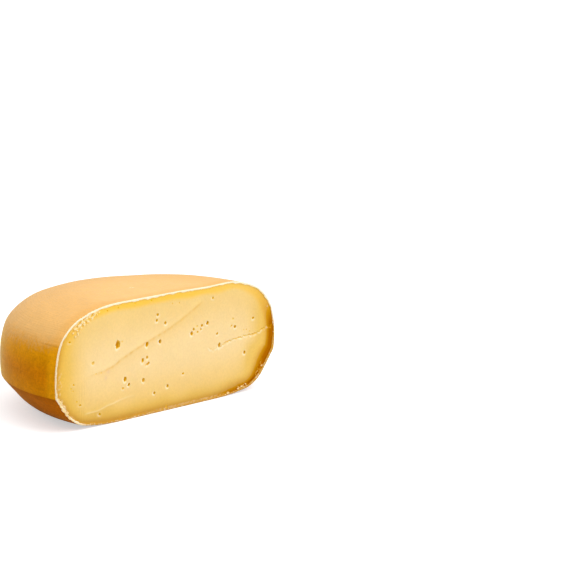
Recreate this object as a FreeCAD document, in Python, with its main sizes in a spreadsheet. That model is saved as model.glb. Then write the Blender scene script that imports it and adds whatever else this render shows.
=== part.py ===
"""Half a wheel of gouda, lying on its flat base with the cut face towards -Y.

A round wheel is turned from one section, then sliced upright a little in front
of its axis, so the half is slightly deeper than a true half. The cut face shows
the cheese's eyes and one long split. Millimetres, +Z up; the origin is under
the middle of the half wheel, on the surface that it stands on.
"""
import FreeCAD, Part
import math
import os

import Sketcher
from FreeCAD import Placement, Rotation, Vector

# Every driving dimension: name, value and what it is. Lengths are in
# millimetres and angles in degrees.
SIZES = [
    ("wheel_radius", 129.5, "widest radius, at the belly of the side"),
    ("wheel_height", 95.3, "height at the middle of the top"),
    ("cut_offset", 7.0, "how far in front of the wheel's axis the knife went"),
    ("belly_height", 45.0, "height of the widest point of the side"),
    ("low_crease_height", 30.0, "height of the crease under the side band"),
    ("low_crease_inset", 1.2, "how far the lower crease lies inside the belly"),
    ("high_crease_drop", 26.1, "how far the upper crease lies below the top"),
    ("high_crease_inset", 3.9, "how far the upper crease lies inside the belly"),
    ("top_shoulder_width", 60.6, "from the upper crease in to the edge of the top"),
    ("top_shoulder_sweep", 117.0, "radius of the shoulder beside the top"),
    ("top_shoulder_turn", 44.0, "radius of the shoulder beside the upper crease"),
    ("top_rise", 0.6, "how far the middle of the top stands above its edge"),
    ("base_shoulder_width", 71.3, "from the lower crease in to the flat base"),
    ("base_shoulder_sweep", 265.0, "radius of the underside beside the flat base"),
    ("base_shoulder_turn", 35.0, "radius of the underside below the bevel"),
    ("base_bevel_angle", 52.0, "slope of the bevel below the lower crease"),
    ("eye_depth_share", 0.45, "depth of an eye over the larger way across it"),
    ("crack_width", 0.9, "widest opening of the split"),
    ("crack_depth", 2.2, "depth of the split"),
]

# The larger eyes on the cut face: how far across (share of the wheel's radius,
# from its axis) and up (share of its height) the middle lies, the width, the
# height, and the lean, by which the eye's top is turned towards -X.
EYES = [
    (-0.480, 0.643, 4.6, 6.6, 0.0),
    (-0.221, 0.598, 2.7, 4.2, -28.0),
    (-0.105, 0.601, 2.7, 3.1, -15.0),
    (-0.255, 0.470, 2.3, 3.5, -14.0),
    (-0.207, 0.434, 1.8, 3.8, -62.0),
    (-0.406, 0.343, 2.5, 3.9, -25.0),
    (-0.371, 0.291, 1.9, 2.8, -38.0),
    (-0.242, 0.302, 2.8, 3.4, -20.0),
    (-0.687, 0.531, 2.6, 2.4, 0.0),
    (-0.023, 0.208, 2.4, 2.5, -15.0),
    (-0.134, 0.831, 2.1, 2.4, 20.0),
    (-0.063, 0.751, 2.1, 2.5, 20.0),
    (0.334, 0.681, 2.4, 3.0, -25.0),
    (0.283, 0.667, 2.6, 2.3, 10.0),
    (0.459, 0.467, 2.3, 4.1, 0.0),
    (0.605, 0.602, 2.8, 2.4, 10.0),
    (0.783, 0.650, 2.8, 1.9, 0.0),
    (0.709, 0.357, 2.3, 2.5, -14.0),
]

# The split's line across the cut face, in shares like the eyes' places. It
# opens from nothing at its inner end and closes again short of the rind.
CRACK = [
    (0.357, 0.462),
    (0.402, 0.440),
    (0.530, 0.485),
    (0.684, 0.503),
    (0.853, 0.512),
    (0.945, 0.547),
]

SPARE = 10.0                                # how far the knife's outline runs past the wheel
START, END, CENTRE = 1, 2, 3                # the points of a sketch's line or arc
ORIGIN, UPRIGHT = -1, -2                    # a sketch's own origin and upright axis


def fill_sheet(doc):
    """Put every size in the document's sheet and return them by name."""
    sheet = doc.addObject("Spreadsheet::Sheet", "sizes")
    rows = list(SIZES)
    for number, eye in enumerate(EYES, 1):
        for word, value in zip(("across", "up", "width", "height", "lean"), eye):
            rows.append((f"eye_{number}_{word}", value, f"eye {number}: {word}"))
    for number, point in enumerate(CRACK, 1):
        for word, value in zip(("across", "up"), point):
            rows.append((f"crack_{number}_{word}", value, f"split, point {number}: {word}"))
    for line, (name, value, meaning) in enumerate(rows, 1):
        sheet.set(f"A{line}", meaning)
        sheet.set(f"B{line}", str(value))
        sheet.setAlias(f"B{line}", name)
    doc.recompute()
    return {name: float(sheet.get(name)) for name, value, meaning in rows}


def upright_plane(body):
    """The body's own plane through the wheel's axis, which faces -Y."""
    for plane in body.Origin.OriginFeatures:
        if plane.Role == "XZ_Plane":
            return plane
    raise RuntimeError("the body has no XZ plane")


def upright_sketch(body, name, forward=None):
    """A sketch on the body's upright plane, moved forward (-Y) by a formula."""
    sketch = body.newObject("Sketcher::SketchObject", name)
    sketch.AttachmentSupport = (upright_plane(body), "")
    sketch.MapMode = "FlatFace"
    if forward:
        sketch.setExpression("AttachmentOffset.Base.z", forward)
    return sketch


def size_constraint(sketch, kind, places, value, formula):
    """Add a constraint at the value that the geometry has, then bind it."""
    index = sketch.addConstraint(Sketcher.Constraint(kind, *places, value))
    name = f"size_{index}"
    sketch.renameConstraint(index, name)
    sketch.setExpression(f"Constraints.{name}", formula)


def place_point(sketch, line, end, across, up):
    """Hold one end of a line or arc at a place worked out from the sheet."""
    point = sketch.getPoint(line, end)
    places = (ORIGIN, START, line, end)
    if across:
        size_constraint(sketch, "DistanceX", places, point.x, across)
    if up:
        size_constraint(sketch, "DistanceY", places, point.y, up)


def join_up(sketch, count, smooth=()):
    """Join a ring of lines end to start, the smooth ones without a corner."""
    for line in range(count):
        following = (line + 1) % count
        kind = "Tangent" if line in smooth else "Coincident"
        sketch.addConstraint(Sketcher.Constraint(kind, line, END, following, START))


def spoke(angle, radius):
    """A step of a radius, at an angle anticlockwise from straight down."""
    return radius * Vector(math.sin(math.radians(angle)), -math.cos(math.radians(angle)))


def arc_about(centre, start, end):
    """An arc that runs anticlockwise from start towards end, for a sketch."""
    first = math.atan2(start.y - centre.y, start.x - centre.x)
    last = math.atan2(end.y - centre.y, end.x - centre.x)
    circle = Part.Circle(centre, Vector(0, 0, 1), (start - centre).Length)
    return Part.ArcOfCircle(circle, first, last)


def draw_section(sketch, size):
    """Half of the wheel's upright section, from the axis out, anticlockwise.

    Where the two arcs of a shoulder meet follows from the rest. Those places
    start at likely angles here, and the constraints settle them.
    """
    base_meet, bevel_meet, top_meet = 8.0, 40.0, 18.0
    low_radius = size["wheel_radius"] - size["low_crease_inset"]
    high_radius = size["wheel_radius"] - size["high_crease_inset"]
    base_sweep, base_turn = size["base_shoulder_sweep"], size["base_shoulder_turn"]
    top_sweep, top_turn = size["top_shoulder_sweep"], size["top_shoulder_turn"]

    foot = Vector(0, 0)
    base_edge = Vector(low_radius - size["base_shoulder_width"], 0)
    sweep_centre = base_edge + Vector(0, base_sweep)
    under = sweep_centre + spoke(base_meet, base_sweep)
    turn_centre = under - spoke(base_meet, base_turn)
    bevel_foot = turn_centre + spoke(bevel_meet, base_turn)
    low_crease = Vector(low_radius, size["low_crease_height"])
    belly = Vector(size["wheel_radius"], size["belly_height"])
    high_crease = Vector(high_radius, size["wheel_height"] - size["high_crease_drop"])
    summit = Vector(0, size["wheel_height"])
    top_edge = summit + Vector(high_radius - size["top_shoulder_width"], -size["top_rise"])
    rim_centre = top_edge - Vector(0, top_sweep)
    shoulder = rim_centre + spoke(180.0 - top_meet, top_sweep)
    shoulder_centre = shoulder - spoke(180.0 - top_meet, top_turn)
    side_centre = belly - Vector(size["wheel_radius"], 0)
    dome_centre = summit - Vector(0, top_edge.x ** 2 / (2 * size["top_rise"]))
    lines = [
        Part.LineSegment(foot, base_edge),
        arc_about(sweep_centre, base_edge, under),
        arc_about(turn_centre, under, bevel_foot),
        Part.LineSegment(bevel_foot, low_crease),
        arc_about(side_centre, low_crease, belly),
        arc_about(side_centre, belly, high_crease),
        arc_about(shoulder_centre, high_crease, shoulder),
        arc_about(rim_centre, shoulder, top_edge),
        arc_about(dome_centre, top_edge, summit),
        Part.LineSegment(summit, foot),
    ]
    sketch.addGeometry(lines, False)
    base, sweep, turn, bevel, low_side, high_side, shoulder, rim, top, axis = range(len(lines))

    join_up(sketch, len(lines), smooth=(base, sweep, turn, shoulder, rim))
    sketch.addConstraint(Sketcher.Constraint("Coincident", base, START, ORIGIN, START))
    sketch.addConstraint(Sketcher.Constraint("Horizontal", base))
    sketch.addConstraint(Sketcher.Constraint("Vertical", axis))
    sketch.addConstraint(Sketcher.Constraint("PointOnObject", top, CENTRE, UPRIGHT))
    for side, end in ((low_side, END), (high_side, START)):
        sketch.addConstraint(Sketcher.Constraint("Horizontal", side, CENTRE, side, end))

    low = "sizes.wheel_radius - sizes.low_crease_inset"
    high = "sizes.wheel_radius - sizes.high_crease_inset"
    height = "sizes.wheel_height"
    place_point(sketch, base, END, f"{low} - sizes.base_shoulder_width", None)
    place_point(sketch, bevel, END, low, "sizes.low_crease_height")
    place_point(sketch, low_side, END, "sizes.wheel_radius", "sizes.belly_height")
    place_point(sketch, high_side, END, high, f"{height} - sizes.high_crease_drop")
    place_point(sketch, rim, END, f"{high} - sizes.top_shoulder_width", f"{height} - sizes.top_rise")
    place_point(sketch, top, END, None, height)
    for arc, name in ((sweep, "base_shoulder_sweep"), (turn, "base_shoulder_turn"),
                      (shoulder, "top_shoulder_turn"), (rim, "top_shoulder_sweep")):
        size_constraint(sketch, "Radius", (arc,), size[name], f"sizes.{name}")
    slope = math.atan2(low_crease.y - bevel_foot.y, low_crease.x - bevel_foot.x)
    size_constraint(sketch, "Angle", (bevel,), slope, "sizes.base_bevel_angle * 1deg")


def turn_wheel(body, size):
    """Turn the whole wheel from its section."""
    section = upright_sketch(body, "wheel_section")
    draw_section(section, size)
    wheel = body.newObject("PartDesign::Revolution", "whole_wheel")
    wheel.Profile = section
    wheel.ReferenceAxis = (section, ["V_Axis"])
    wheel.Angle = 360.0
    return wheel


def slice_wheel(body, size):
    """Take away what lies in front of the knife's upright plane."""
    outline = upright_sketch(body, "knife_plane", "sizes.cut_offset")
    reach = size["wheel_radius"] + SPARE
    low, high = -SPARE, size["wheel_height"] + SPARE
    corners = [Vector(-reach, low), Vector(reach, low), Vector(reach, high), Vector(-reach, high)]
    for corner, following in zip(corners, corners[1:] + corners[:1]):
        outline.addGeometry(Part.LineSegment(corner, following), False)
    below, right, above, left = range(len(corners))
    join_up(outline, len(corners))
    for side in (left, right):
        outline.addConstraint(Sketcher.Constraint("Vertical", side))
    outline.addConstraint(Sketcher.Constraint("Horizontal", above))
    outline.addConstraint(Sketcher.Constraint("Symmetric", below, START, below, END, UPRIGHT))
    size_constraint(outline, "DistanceX", (below, START, below, END), 2 * reach,
                    f"2 * (sizes.wheel_radius + {SPARE})")
    size_constraint(outline, "DistanceY", (below, START, ORIGIN, START), -low, f"{SPARE}")
    size_constraint(outline, "DistanceY", (right, START, right, END), high - low,
                    f"sizes.wheel_height + 2 * {SPARE}")

    cut = body.newObject("PartDesign::Pocket", "front_half")
    cut.Profile = outline
    cut.Type = "ThroughAll"
    cut.Reversed = True
    return cut


def open_eye(body, number):
    """Hollow one eye out of the cut face, half of an egg deep."""
    eye = body.newObject("PartDesign::SubtractiveEllipsoid", f"eye_{number}")
    eye.AttachmentSupport = (upright_plane(body), "")
    eye.MapMode = "FlatFace"
    eye.AttachmentOffset = Placement(Vector(0, 0, 0), Rotation(Vector(0, 0, 1), 1))
    name = f"sizes.eye_{number}"
    eye.setExpression("AttachmentOffset.Base.x", f"{name}_across * sizes.wheel_radius")
    eye.setExpression("AttachmentOffset.Base.y", f"{name}_up * sizes.wheel_height")
    eye.setExpression("AttachmentOffset.Base.z", "sizes.cut_offset")
    eye.setExpression("AttachmentOffset.Rotation.Angle", f"{name}_lean * 1deg")
    eye.setExpression("Radius1", f"sizes.eye_depth_share * max({name}_width; {name}_height)")
    eye.setExpression("Radius2", f"{name}_width / 2")
    eye.setExpression("Radius3", f"{name}_height / 2")
    return eye


def open_crack(body, size):
    """Cut the long split: a thin leaf along its line, pointed at both ends."""
    outline = upright_sketch(body, "crack_line", "sizes.cut_offset")
    last = len(CRACK)
    upper = [(number, 1) for number in range(2, last)]
    lower = [(number, -1) for number in range(last - 1, 1, -1)]
    corners = [(1, 0)] + upper + [(last, 0)] + lower
    places = []
    for number, side in corners:
        across = size[f"crack_{number}_across"] * size["wheel_radius"]
        up = size[f"crack_{number}_up"] * size["wheel_height"] + side * size["crack_width"] / 2
        places.append(Vector(across, up))
    for place, following in zip(places, places[1:] + places[:1]):
        outline.addGeometry(Part.LineSegment(place, following), False)
    join_up(outline, len(places))
    for line, (number, side) in enumerate(corners):
        across = f"sizes.crack_{number}_across * sizes.wheel_radius"
        up = f"sizes.crack_{number}_up * sizes.wheel_height + {side} * sizes.crack_width / 2"
        place_point(outline, line, START, across, up)

    crack = body.newObject("PartDesign::Pocket", "crack")
    crack.Profile = outline
    crack.Type = "Length"
    crack.setExpression("Length", "sizes.crack_depth")
    crack.Reversed = False
    return crack


def make_half_wheel(doc, size):
    """The half wheel, one solid, with its origin under its middle."""
    body = doc.addObject("PartDesign::Body", "half_wheel")
    body.Label = "half_wheel"
    turn_wheel(body, size)
    doc.recompute()
    cuts = [slice_wheel(body, size)]
    doc.recompute()
    for number in range(1, len(EYES) + 1):
        cuts.append(open_eye(body, number))
    cuts.append(open_crack(body, size))
    body.setExpression("Placement.Base.y", "(sizes.cut_offset - sizes.wheel_radius) / 2")
    doc.recompute()
    for cut in cuts:
        if cut.Shape.Volume >= cut.BaseFeature.Shape.Volume:
            raise RuntimeError(f"{cut.Name} takes nothing away")
    return body


def check_document(doc, bodies):
    """Stop if any feature failed or a sub-part is not one sound solid."""
    for item in doc.Objects:
        if "Invalid" in item.State or "Error" in item.State:
            raise RuntimeError(f"{item.Name} could not be built: {item.State}")
        if item.TypeId == "Sketcher::SketchObject" and item.solve() != 0:
            raise RuntimeError(f"the sketch {item.Name} does not solve")
    for body in bodies:
        if body.Shape.isNull() or not body.Shape.isValid():
            raise RuntimeError(f"{body.Label} has no sound shape")
        if len(body.Shape.Solids) != 1:
            raise RuntimeError(f"{body.Label} is not one solid")


def main():
    """Build the document, check it and write its sub-parts."""
    os.makedirs("parts", exist_ok=True)
    doc = FreeCAD.newDocument("gouda_half_wheel")
    size = fill_sheet(doc)
    bodies = [make_half_wheel(doc, size)]
    check_document(doc, bodies)
    for body in bodies:
        body.Shape.exportStep(f"parts/{body.Label}.step")
        box = body.Shape.optimalBoundingBox(False, False)
        print(f"{body.Label}: {box.XLength:.2f} x {box.YLength:.2f} x {box.ZLength:.2f} mm, "
              f"{body.Shape.Volume / 1e6:.4f} litres")


main()
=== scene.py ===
"""The looks of half a wheel of gouda: its coated rind, its cut face and its crumbs.

Everything is in metres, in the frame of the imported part: +Z up, the cut face
towards -Y, and the origin under the middle of the half wheel. The tables and the
points of the cut face are in millimetres: across from the wheel's axis, and up
from the base.
"""
import math

import bpy
import numpy as np
from bpy.props import FloatProperty, FloatVectorProperty, IntProperty, PointerProperty
from mathutils import Matrix, Vector
from mathutils.geometry import delaunay_2d_cdt


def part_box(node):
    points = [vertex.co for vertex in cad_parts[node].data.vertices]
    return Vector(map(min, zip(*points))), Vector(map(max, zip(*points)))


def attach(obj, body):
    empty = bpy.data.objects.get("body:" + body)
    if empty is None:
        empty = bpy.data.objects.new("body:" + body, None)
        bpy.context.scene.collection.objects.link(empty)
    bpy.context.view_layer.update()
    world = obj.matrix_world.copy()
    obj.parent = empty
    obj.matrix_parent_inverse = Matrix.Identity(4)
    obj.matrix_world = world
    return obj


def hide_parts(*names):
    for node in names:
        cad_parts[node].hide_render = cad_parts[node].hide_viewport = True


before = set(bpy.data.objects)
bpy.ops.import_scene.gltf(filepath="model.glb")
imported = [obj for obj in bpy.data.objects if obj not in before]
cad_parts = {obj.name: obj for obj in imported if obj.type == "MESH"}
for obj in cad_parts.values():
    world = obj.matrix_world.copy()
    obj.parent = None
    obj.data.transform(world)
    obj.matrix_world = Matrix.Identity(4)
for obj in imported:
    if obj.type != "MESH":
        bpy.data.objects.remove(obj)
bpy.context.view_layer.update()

bl_info = {
    "name": "Gouda half wheel",
    "version": (1, 0, 0),
    "blender": (4, 5, 0),
    "location": "3D View > Sidebar > Gouda",
    "description": "Builds half a wheel of gouda with its rind, eyes, split and crumbs",
    "category": "Add Mesh",
}

MM = 0.001
DEGREE = math.pi / 180
NODE = "half_wheel"
LOW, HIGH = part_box(NODE)
WHEEL_RADIUS = (HIGH.x - LOW.x) / 2
WHEEL_HEIGHT = HIGH.z
# The rows of the rind's mesh end at this distance from the axis.
CAP_RADIUS = 40 * MM
# How far the rind stops short of the plane that the knife went through.
EDGE_ROUND = 0.15 * MM
# Steps that the section is drawn in before the mesh's rows are picked from it.
SECTION_STEP = 0.2 * MM

# The eyes in the cut face: across, up, width, height, lean of the top towards +X in
# degrees, and depth as a share of the smaller size.
EYES = (
    (-62.2, 61.3, 4.9, 5.9, 2, 0.9), (-28.6, 57.0, 3.0, 3.9, 26, 1.0),
    (-13.6, 57.3, 3.0, 2.8, 40, 1.4), (-17.4, 79.2, 2.3, 2.4, -30, 0.8),
    (-18.3, 74.7, 2.2, 2.1, 0, 1.0), (-8.2, 71.6, 2.2, 2.7, -35, 0.9),
    (-57.5, 63.2, 2.0, 1.4, 0, 0.2), (-33.1, 44.8, 2.5, 3.5, 15, 1.0),
    (-27.9, 46.5, 2.1, 2.5, -30, 0.8), (-26.4, 41.4, 3.0, 1.9, -30, 1.1),
    (-28.6, 40.7, 2.4, 1.3, -25, 0.5), (-52.6, 32.7, 2.9, 3.8, 25, 1.0),
    (-48.0, 27.7, 2.2, 2.6, 40, 1.1), (-54.8, 25.8, 2.0, 1.7, 0, 0.6),
    (-31.4, 28.8, 2.9, 3.2, 18, 0.7), (-3.0, 19.8, 2.4, 2.4, 20, 1.3),
    (-18.2, 16.5, 2.2, 2.1, 40, 1.1), (-109.5, 36.7, 1.9, 1.4, 10, 0.7),
    (-112.3, 34.0, 1.4, 1.0, 0, 0.6), (-109.9, 31.9, 1.1, 0.8, 0, 0.5),
    (-101.9, 19.9, 2.0, 1.4, 0, 0.8), (-105.6, 23.1, 1.6, 1.0, 0, 0.5),
    (-80.4, 9.4, 2.4, 1.8, 20, 0.8), (-114.7, 70.1, 2.1, 1.5, 0, 0.9),
    (-89.0, 50.6, 2.7, 2.4, 0, 0.35), (48.9, 84.9, 2.2, 1.7, 20, 0.8),
    (43.3, 64.9, 2.6, 3.0, 35, 1.2), (36.6, 63.6, 2.3, 2.5, -18, 0.8),
    (35.3, 60.9, 2.0, 1.8, -25, 0.7), (26.2, 61.9, 2.3, 2.3, 25, 0.8),
    (24.2, 58.9, 2.9, 3.7, 12, 0.9), (31.2, 59.1, 2.0, 1.6, 0, 0.7),
    (30.4, 63.9, 1.9, 1.5, 0, 0.25), (56.0, 54.5, 2.2, 1.9, -30, 0.9),
    (101.4, 61.9, 2.7, 1.9, -10, 0.8), (78.4, 57.4, 2.6, 2.5, -25, 0.9),
    (73.8, 58.8, 2.1, 1.5, -30, 0.5), (75.3, 64.5, 2.3, 1.7, 10, 0.25),
    (93.1, 53.2, 1.2, 1.0, 0, 0.4), (89.6, 53.4, 1.2, 0.9, 0, 0.4),
    (97.4, 51.2, 1.3, 1.0, 0, 0.4), (59.4, 44.5, 2.5, 4.3, 2, 1.2),
    (91.8, 34.0, 2.4, 2.7, 18, 1.0), (15.4, 27.2, 2.2, 1.7, 0, 0.9),
    (-25.1, 91.4, 1.5, 1.1, 0, 0.7), (-43.4, 91.2, 1.3, 1.0, 0, 0.7),
    (-62.6, 90.2, 1.3, 1.0, 0, 0.7), (-74.7, 89.3, 1.4, 1.0, 0, 0.7),
    (-0.3, 86.2, 1.4, 1.0, 0, 0.4), (8.1, 85.7, 1.5, 1.0, 20, 0.4),
    (-85.6, 41.8, 1.5, 1.0, 0, 0.25), (-79.7, 41.7, 1.5, 1.0, 0, 0.25),
    (-96.5, 86.4, 2.6, 1.5, -35, 0.4), (-103.6, 82.6, 2.2, 1.4, -40, 0.35),
    (-90.4, 88.2, 2.0, 1.2, -25, 0.35), (-109.2, 78.6, 1.8, 1.2, -30, 0.35),
    (-118.4, 18.0, 2.2, 1.6, 20, 1.0), (-122.3, 25.0, 1.6, 1.4, 0, 0.8),
    (-113.2, 12.6, 2.0, 1.4, 40, 1.0), (-3.0, 2.6, 2.2, 1.2, 0, 0.9),
)
# Pieces of the split, end to end, each as (across, up, half width) points.
SPLIT = (
    ((46.3, 44.0, 0.15), (49.0, 42.6, 0.3), (52.0, 41.9, 0.35), (56.5, 43.0, 0.15)),
    ((61.5, 43.0, 0.2), (64.5, 44.7, 0.35), (68.6, 46.2, 0.6), (74.0, 46.6, 0.55),
     (77.7, 47.6, 0.3)),
    ((77.0, 47.1, 0.3), (82.5, 47.4, 0.45), (88.6, 48.2, 0.45), (93.5, 48.3, 0.2)),
    ((92.5, 47.7, 0.2), (98.0, 48.3, 0.55), (104.8, 48.0, 0.6), (108.0, 49.0, 0.25)),
    ((107.5, 49.6, 0.25), (110.5, 49.8, 0.5), (114.5, 51.2, 0.55), (118.5, 52.0, 0.3)),
    ((117.8, 51.6, 0.25), (121.5, 52.4, 0.3), (127.2, 53.6, 0.25)),
)
# Where the knife paused and left a soft step, and the pale ridge low in the face.
KNIFE_STEP = ((-97.3, 40.5), (-76.1, 43.2), (-66.3, 45.6), (-57.5, 49.6), (-46.5, 53.6),
              (-26.4, 60.0), (-8.7, 65.0), (6.8, 70.6), (23.5, 77.9), (38.9, 85.1))
RIDGE = ((-98.5, 11.7), (-90.4, 12.2), (-82.1, 12.4), (-72.2, 14.7), (-65.1, 15.5),
         (-57.6, 16.9), (-49.1, 18.0), (-35.0, 17.7))
# Where the paste tore: across, up, half width, half height, lean, strength.
TORN = (
    (-98.5, 84.6, 14.0, 3.4, -24, 1.0), (-120.5, 20.0, 3.2, 8.5, -30, 1.0),
    (-124.0, 38.0, 2.2, 13.0, 0, 0.25), (89.5, 5.4, 7.5, 2.0, -9, 0.9),
    (72.5, 2.4, 3.5, 1.0, 0, 0.7), (-112.0, 10.0, 8.0, 2.6, 35, 0.8),
    (112.0, 17.0, 2.6, 9.0, 32, 0.6), (40.0, 1.8, 60.0, 1.2, 0, 0.35),
)
# Flakes that the knife lifted: across, up, width, height, lean.
FLAKES = (
    (-109.4, 79.7, 2.7, 1.8, -35), (-107.3, 78.2, 2.0, 1.3, 10), (-106.0, 81.6, 2.6, 1.6, -45),
    (-103.6, 79.9, 1.8, 1.2, -10), (-102.4, 83.7, 2.8, 1.5, -30), (-100.2, 81.9, 1.7, 1.2, 20),
    (-98.6, 85.5, 2.9, 1.6, -25), (-96.4, 83.8, 2.0, 1.2, -35), (-94.2, 87.0, 2.7, 1.5, -15),
    (-91.8, 85.8, 1.7, 1.0, 15), (-89.2, 88.4, 2.4, 1.3, -20), (-111.6, 76.6, 2.1, 1.5, -40),
    (-86.0, 87.6, 1.6, 1.0, 10), (-84.0, 89.4, 2.0, 1.0, -15), (-106.4, 75.6, 2.2, 2.7, 0),
    (-109.0, 73.8, 1.6, 2.0, 20), (-104.6, 77.6, 1.5, 1.2, 60), (-97.0, 81.6, 1.5, 1.0, 0),
    (-124.9, 27.2, 1.6, 3.8, -14), (-122.6, 22.6, 2.4, 5.2, -26), (-122.9, 25.6, 1.6, 2.4, -10),
    (-119.8, 18.6, 2.6, 5.4, -34), (-118.9, 21.0, 1.5, 2.6, -20), (-116.6, 15.2, 2.3, 5.0, -38),
    (-114.9, 16.2, 1.3, 2.4, -30), (-113.2, 11.9, 2.1, 4.4, -48), (-109.6, 9.2, 1.6, 3.8, -56),
    (-105.4, 6.8, 1.3, 3.0, -64), (85.2, 4.2, 2.4, 1.1, -12), (89.8, 5.3, 2.9, 1.3, -15),
    (94.8, 6.8, 1.7, 1.2, 30), (92.3, 4.5, 1.5, 0.9, -20), (72.7, 2.3, 3.8, 1.4, -8),
    (68.8, 1.5, 1.8, 0.8, 0), (115.6, 19.6, 2.2, 1.2, -35), (119.3, 69.6, 1.5, 1.0, -25),
)
# Where the knife chattered: across.
CHATTER = -100.5
# Where the coating on the top is scuffed: across, back from the axis, length over width.
SCUFF = (-11.5, 27, 2.2)
# Two faint purple-grey spots: across, up, radius.
SPOTS = ((-71.8, 41.5, 2.0), (-74.5, 36.9, 1.5))
# Spacing of the mesh along the knife's lines.
LINE_GAP = 0.9
# Rows of the mesh beside the split and those lines, and how far the even fill keeps off.
SPLIT_ROWS = ((0, -0.3, 0.3, -0.65, 0.65, -1.1, 1.05, -1.6), 1.9)
STEP_ROWS = ((-0.9, -0.3, 0.3, 0.9), 1.3)
RIDGE_ROWS = ((-0.8, -0.3, 0.3, 0.8), 1.2)
# Rings of the mesh round an eye's rim and down into it, as shares of its size.
EYE_RINGS = (1.5, 1.22, 1.04, 0.96, 0.84, 0.62, 0.32)
# The rectangle that the even fill starts from.
FACE_AREA = ((-132, 0), (132, 97))
# The least distance between two points inside the last ring, and from them to the ring.
LEAST_GAP = 0.24
LEAST_TO_RING = 0.5
# Where the mesh has rings inside the cut's outline, as shares of the coating's width.
RINGS = (0.12, 0.36, 0.66, 0.88, 1.0, 1.22, 1.6, 2.15)
# The fields that colour the paste.
PASTE_MARKS = ("outer", "zone", "low", "deep", "smear_and_shade", "spot", "eye", "hollow", "lip", "light_and_shade")
# How far apart the bands of a wave texture of scale 1 lie.
WAVE_LENGTH = 0.314


def linear(hex_colour):
    """An sRGB hex colour as the linear RGBA that Blender's sockets hold."""
    values = [int(hex_colour[i:i + 2], 16) / 255 for i in (1, 3, 5)]
    return [v / 12.92 if v <= 0.04045 else ((v + 0.055) / 1.055) ** 2.4 for v in values] + [1.0]


def length(title, millimetres, about):
    """A length that the sidebar can change."""
    return FloatProperty(name=title, description=about, default=millimetres * MM, min=0.0,
                         unit="LENGTH", subtype="DISTANCE", precision=5)


def angle(title, degrees, about):
    """An angle that the sidebar can change."""
    return FloatProperty(name=title, description=about, default=degrees * DEGREE,
                         subtype="ANGLE")


def colour(title, hex_colour, about):
    """A colour that the sidebar can change."""
    return FloatVectorProperty(name=title, description=about, default=linear(hex_colour),
                               size=4, min=0.0, max=1.0, subtype="COLOR")


class GoudaShape(bpy.types.PropertyGroup):
    """The wheel's section, from the middle of its base out and up to its top."""
    base_flat: length("Base", 57, "Radius of the flat base")
    base_sweep: length("Base sweep", 265, "Radius of the underside beside the flat base")
    sweep_end: angle("Sweep's end", 8.15, "Slope where the base sweep ends")
    base_turn: length("Base turn", 35, "Radius of the underside below the bevel")
    bevel: angle("Bevel", 52, "Slope of the bevel under the lower crease")
    bevel_run: length("Bevel's run", 18.05, "Straight length of the bevel")
    low_side: length("Low side", 94.35, "Radius of the side below the belly")
    low_lean: angle("Low lean", 80.85, "Slope of the side just above the lower crease")
    high_side: length("High side", 77.03, "Radius of the side above the belly")
    high_lean: angle("High lean", 108.31, "Slope of the side just below the upper crease")
    top_start: angle("Shoulder's start", 121.49, "Slope of the shoulder above the upper crease")
    top_turn: length("Top turn", 44, "Radius of the shoulder above the upper crease")
    turn_end: angle("Turn's end", 159.77, "Slope where the top turn ends")
    top_sweep: length("Top sweep", 117, "Radius of the shoulder beside the top")
    top_edge: angle("Top's edge", 178.94, "Slope where the top begins")
    low_round: length("Lower rounding", 0.3, "How softly the lower crease turns")
    high_round: length("Upper rounding", 2.6, "How softly the upper crease turns")
    cut_offset: length("Cut offset", 7, "How far in front of the axis the knife went")
    swell: length("Swell", 1.5, "How much fuller the top's right shoulder is")
    bulge: length("Bulge", 2.0, "How much fuller the right end of the belly is")
    crease_drop: length("Crease's drop", 1.9, "How much lower the lower crease is on the left")
    crease_rise: length("Crease's rise", 1.8, "How much higher it is at the right end")
    unevenness: length("Unevenness", 0.18, "How far the rind strays from a true turned shape")
    row_gap: length("Rows", 1.35, "Spacing of the mesh up the rind")
    columns: IntProperty(name="Columns", default=262, min=16,
                         description="Points of the mesh round the rind")


class GoudaCut(bpy.types.PropertyGroup):
    """The cut face and what shows in it."""
    coat: length("Coating", 1.5, "Width of the coating's pale cut edge")
    zone: length("Under-rind zone", 6.5, "Width of the deeper yellow zone under the rind")
    rim_drop: length("Rim drop", 0.5, "How far the paste shrinks back beside the rind")
    split_depth: length("Split's depth", 1.2, "Depth of the split where it is widest")
    knife_step: length("Knife step", 0.22, "Height of the step that the knife's pause left")
    torn: length("Torn roughness", 0.55, "Roughness where the paste tore along the rind")
    waver: length("Waver", 0.12, "How far the cut strays from a true plane")
    mesh_gap: length("Mesh", 1.15, "Spacing of the mesh in the face")
    seed: IntProperty(name="Seed", default=7, description="Picks the shapes of what is uneven")


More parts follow.
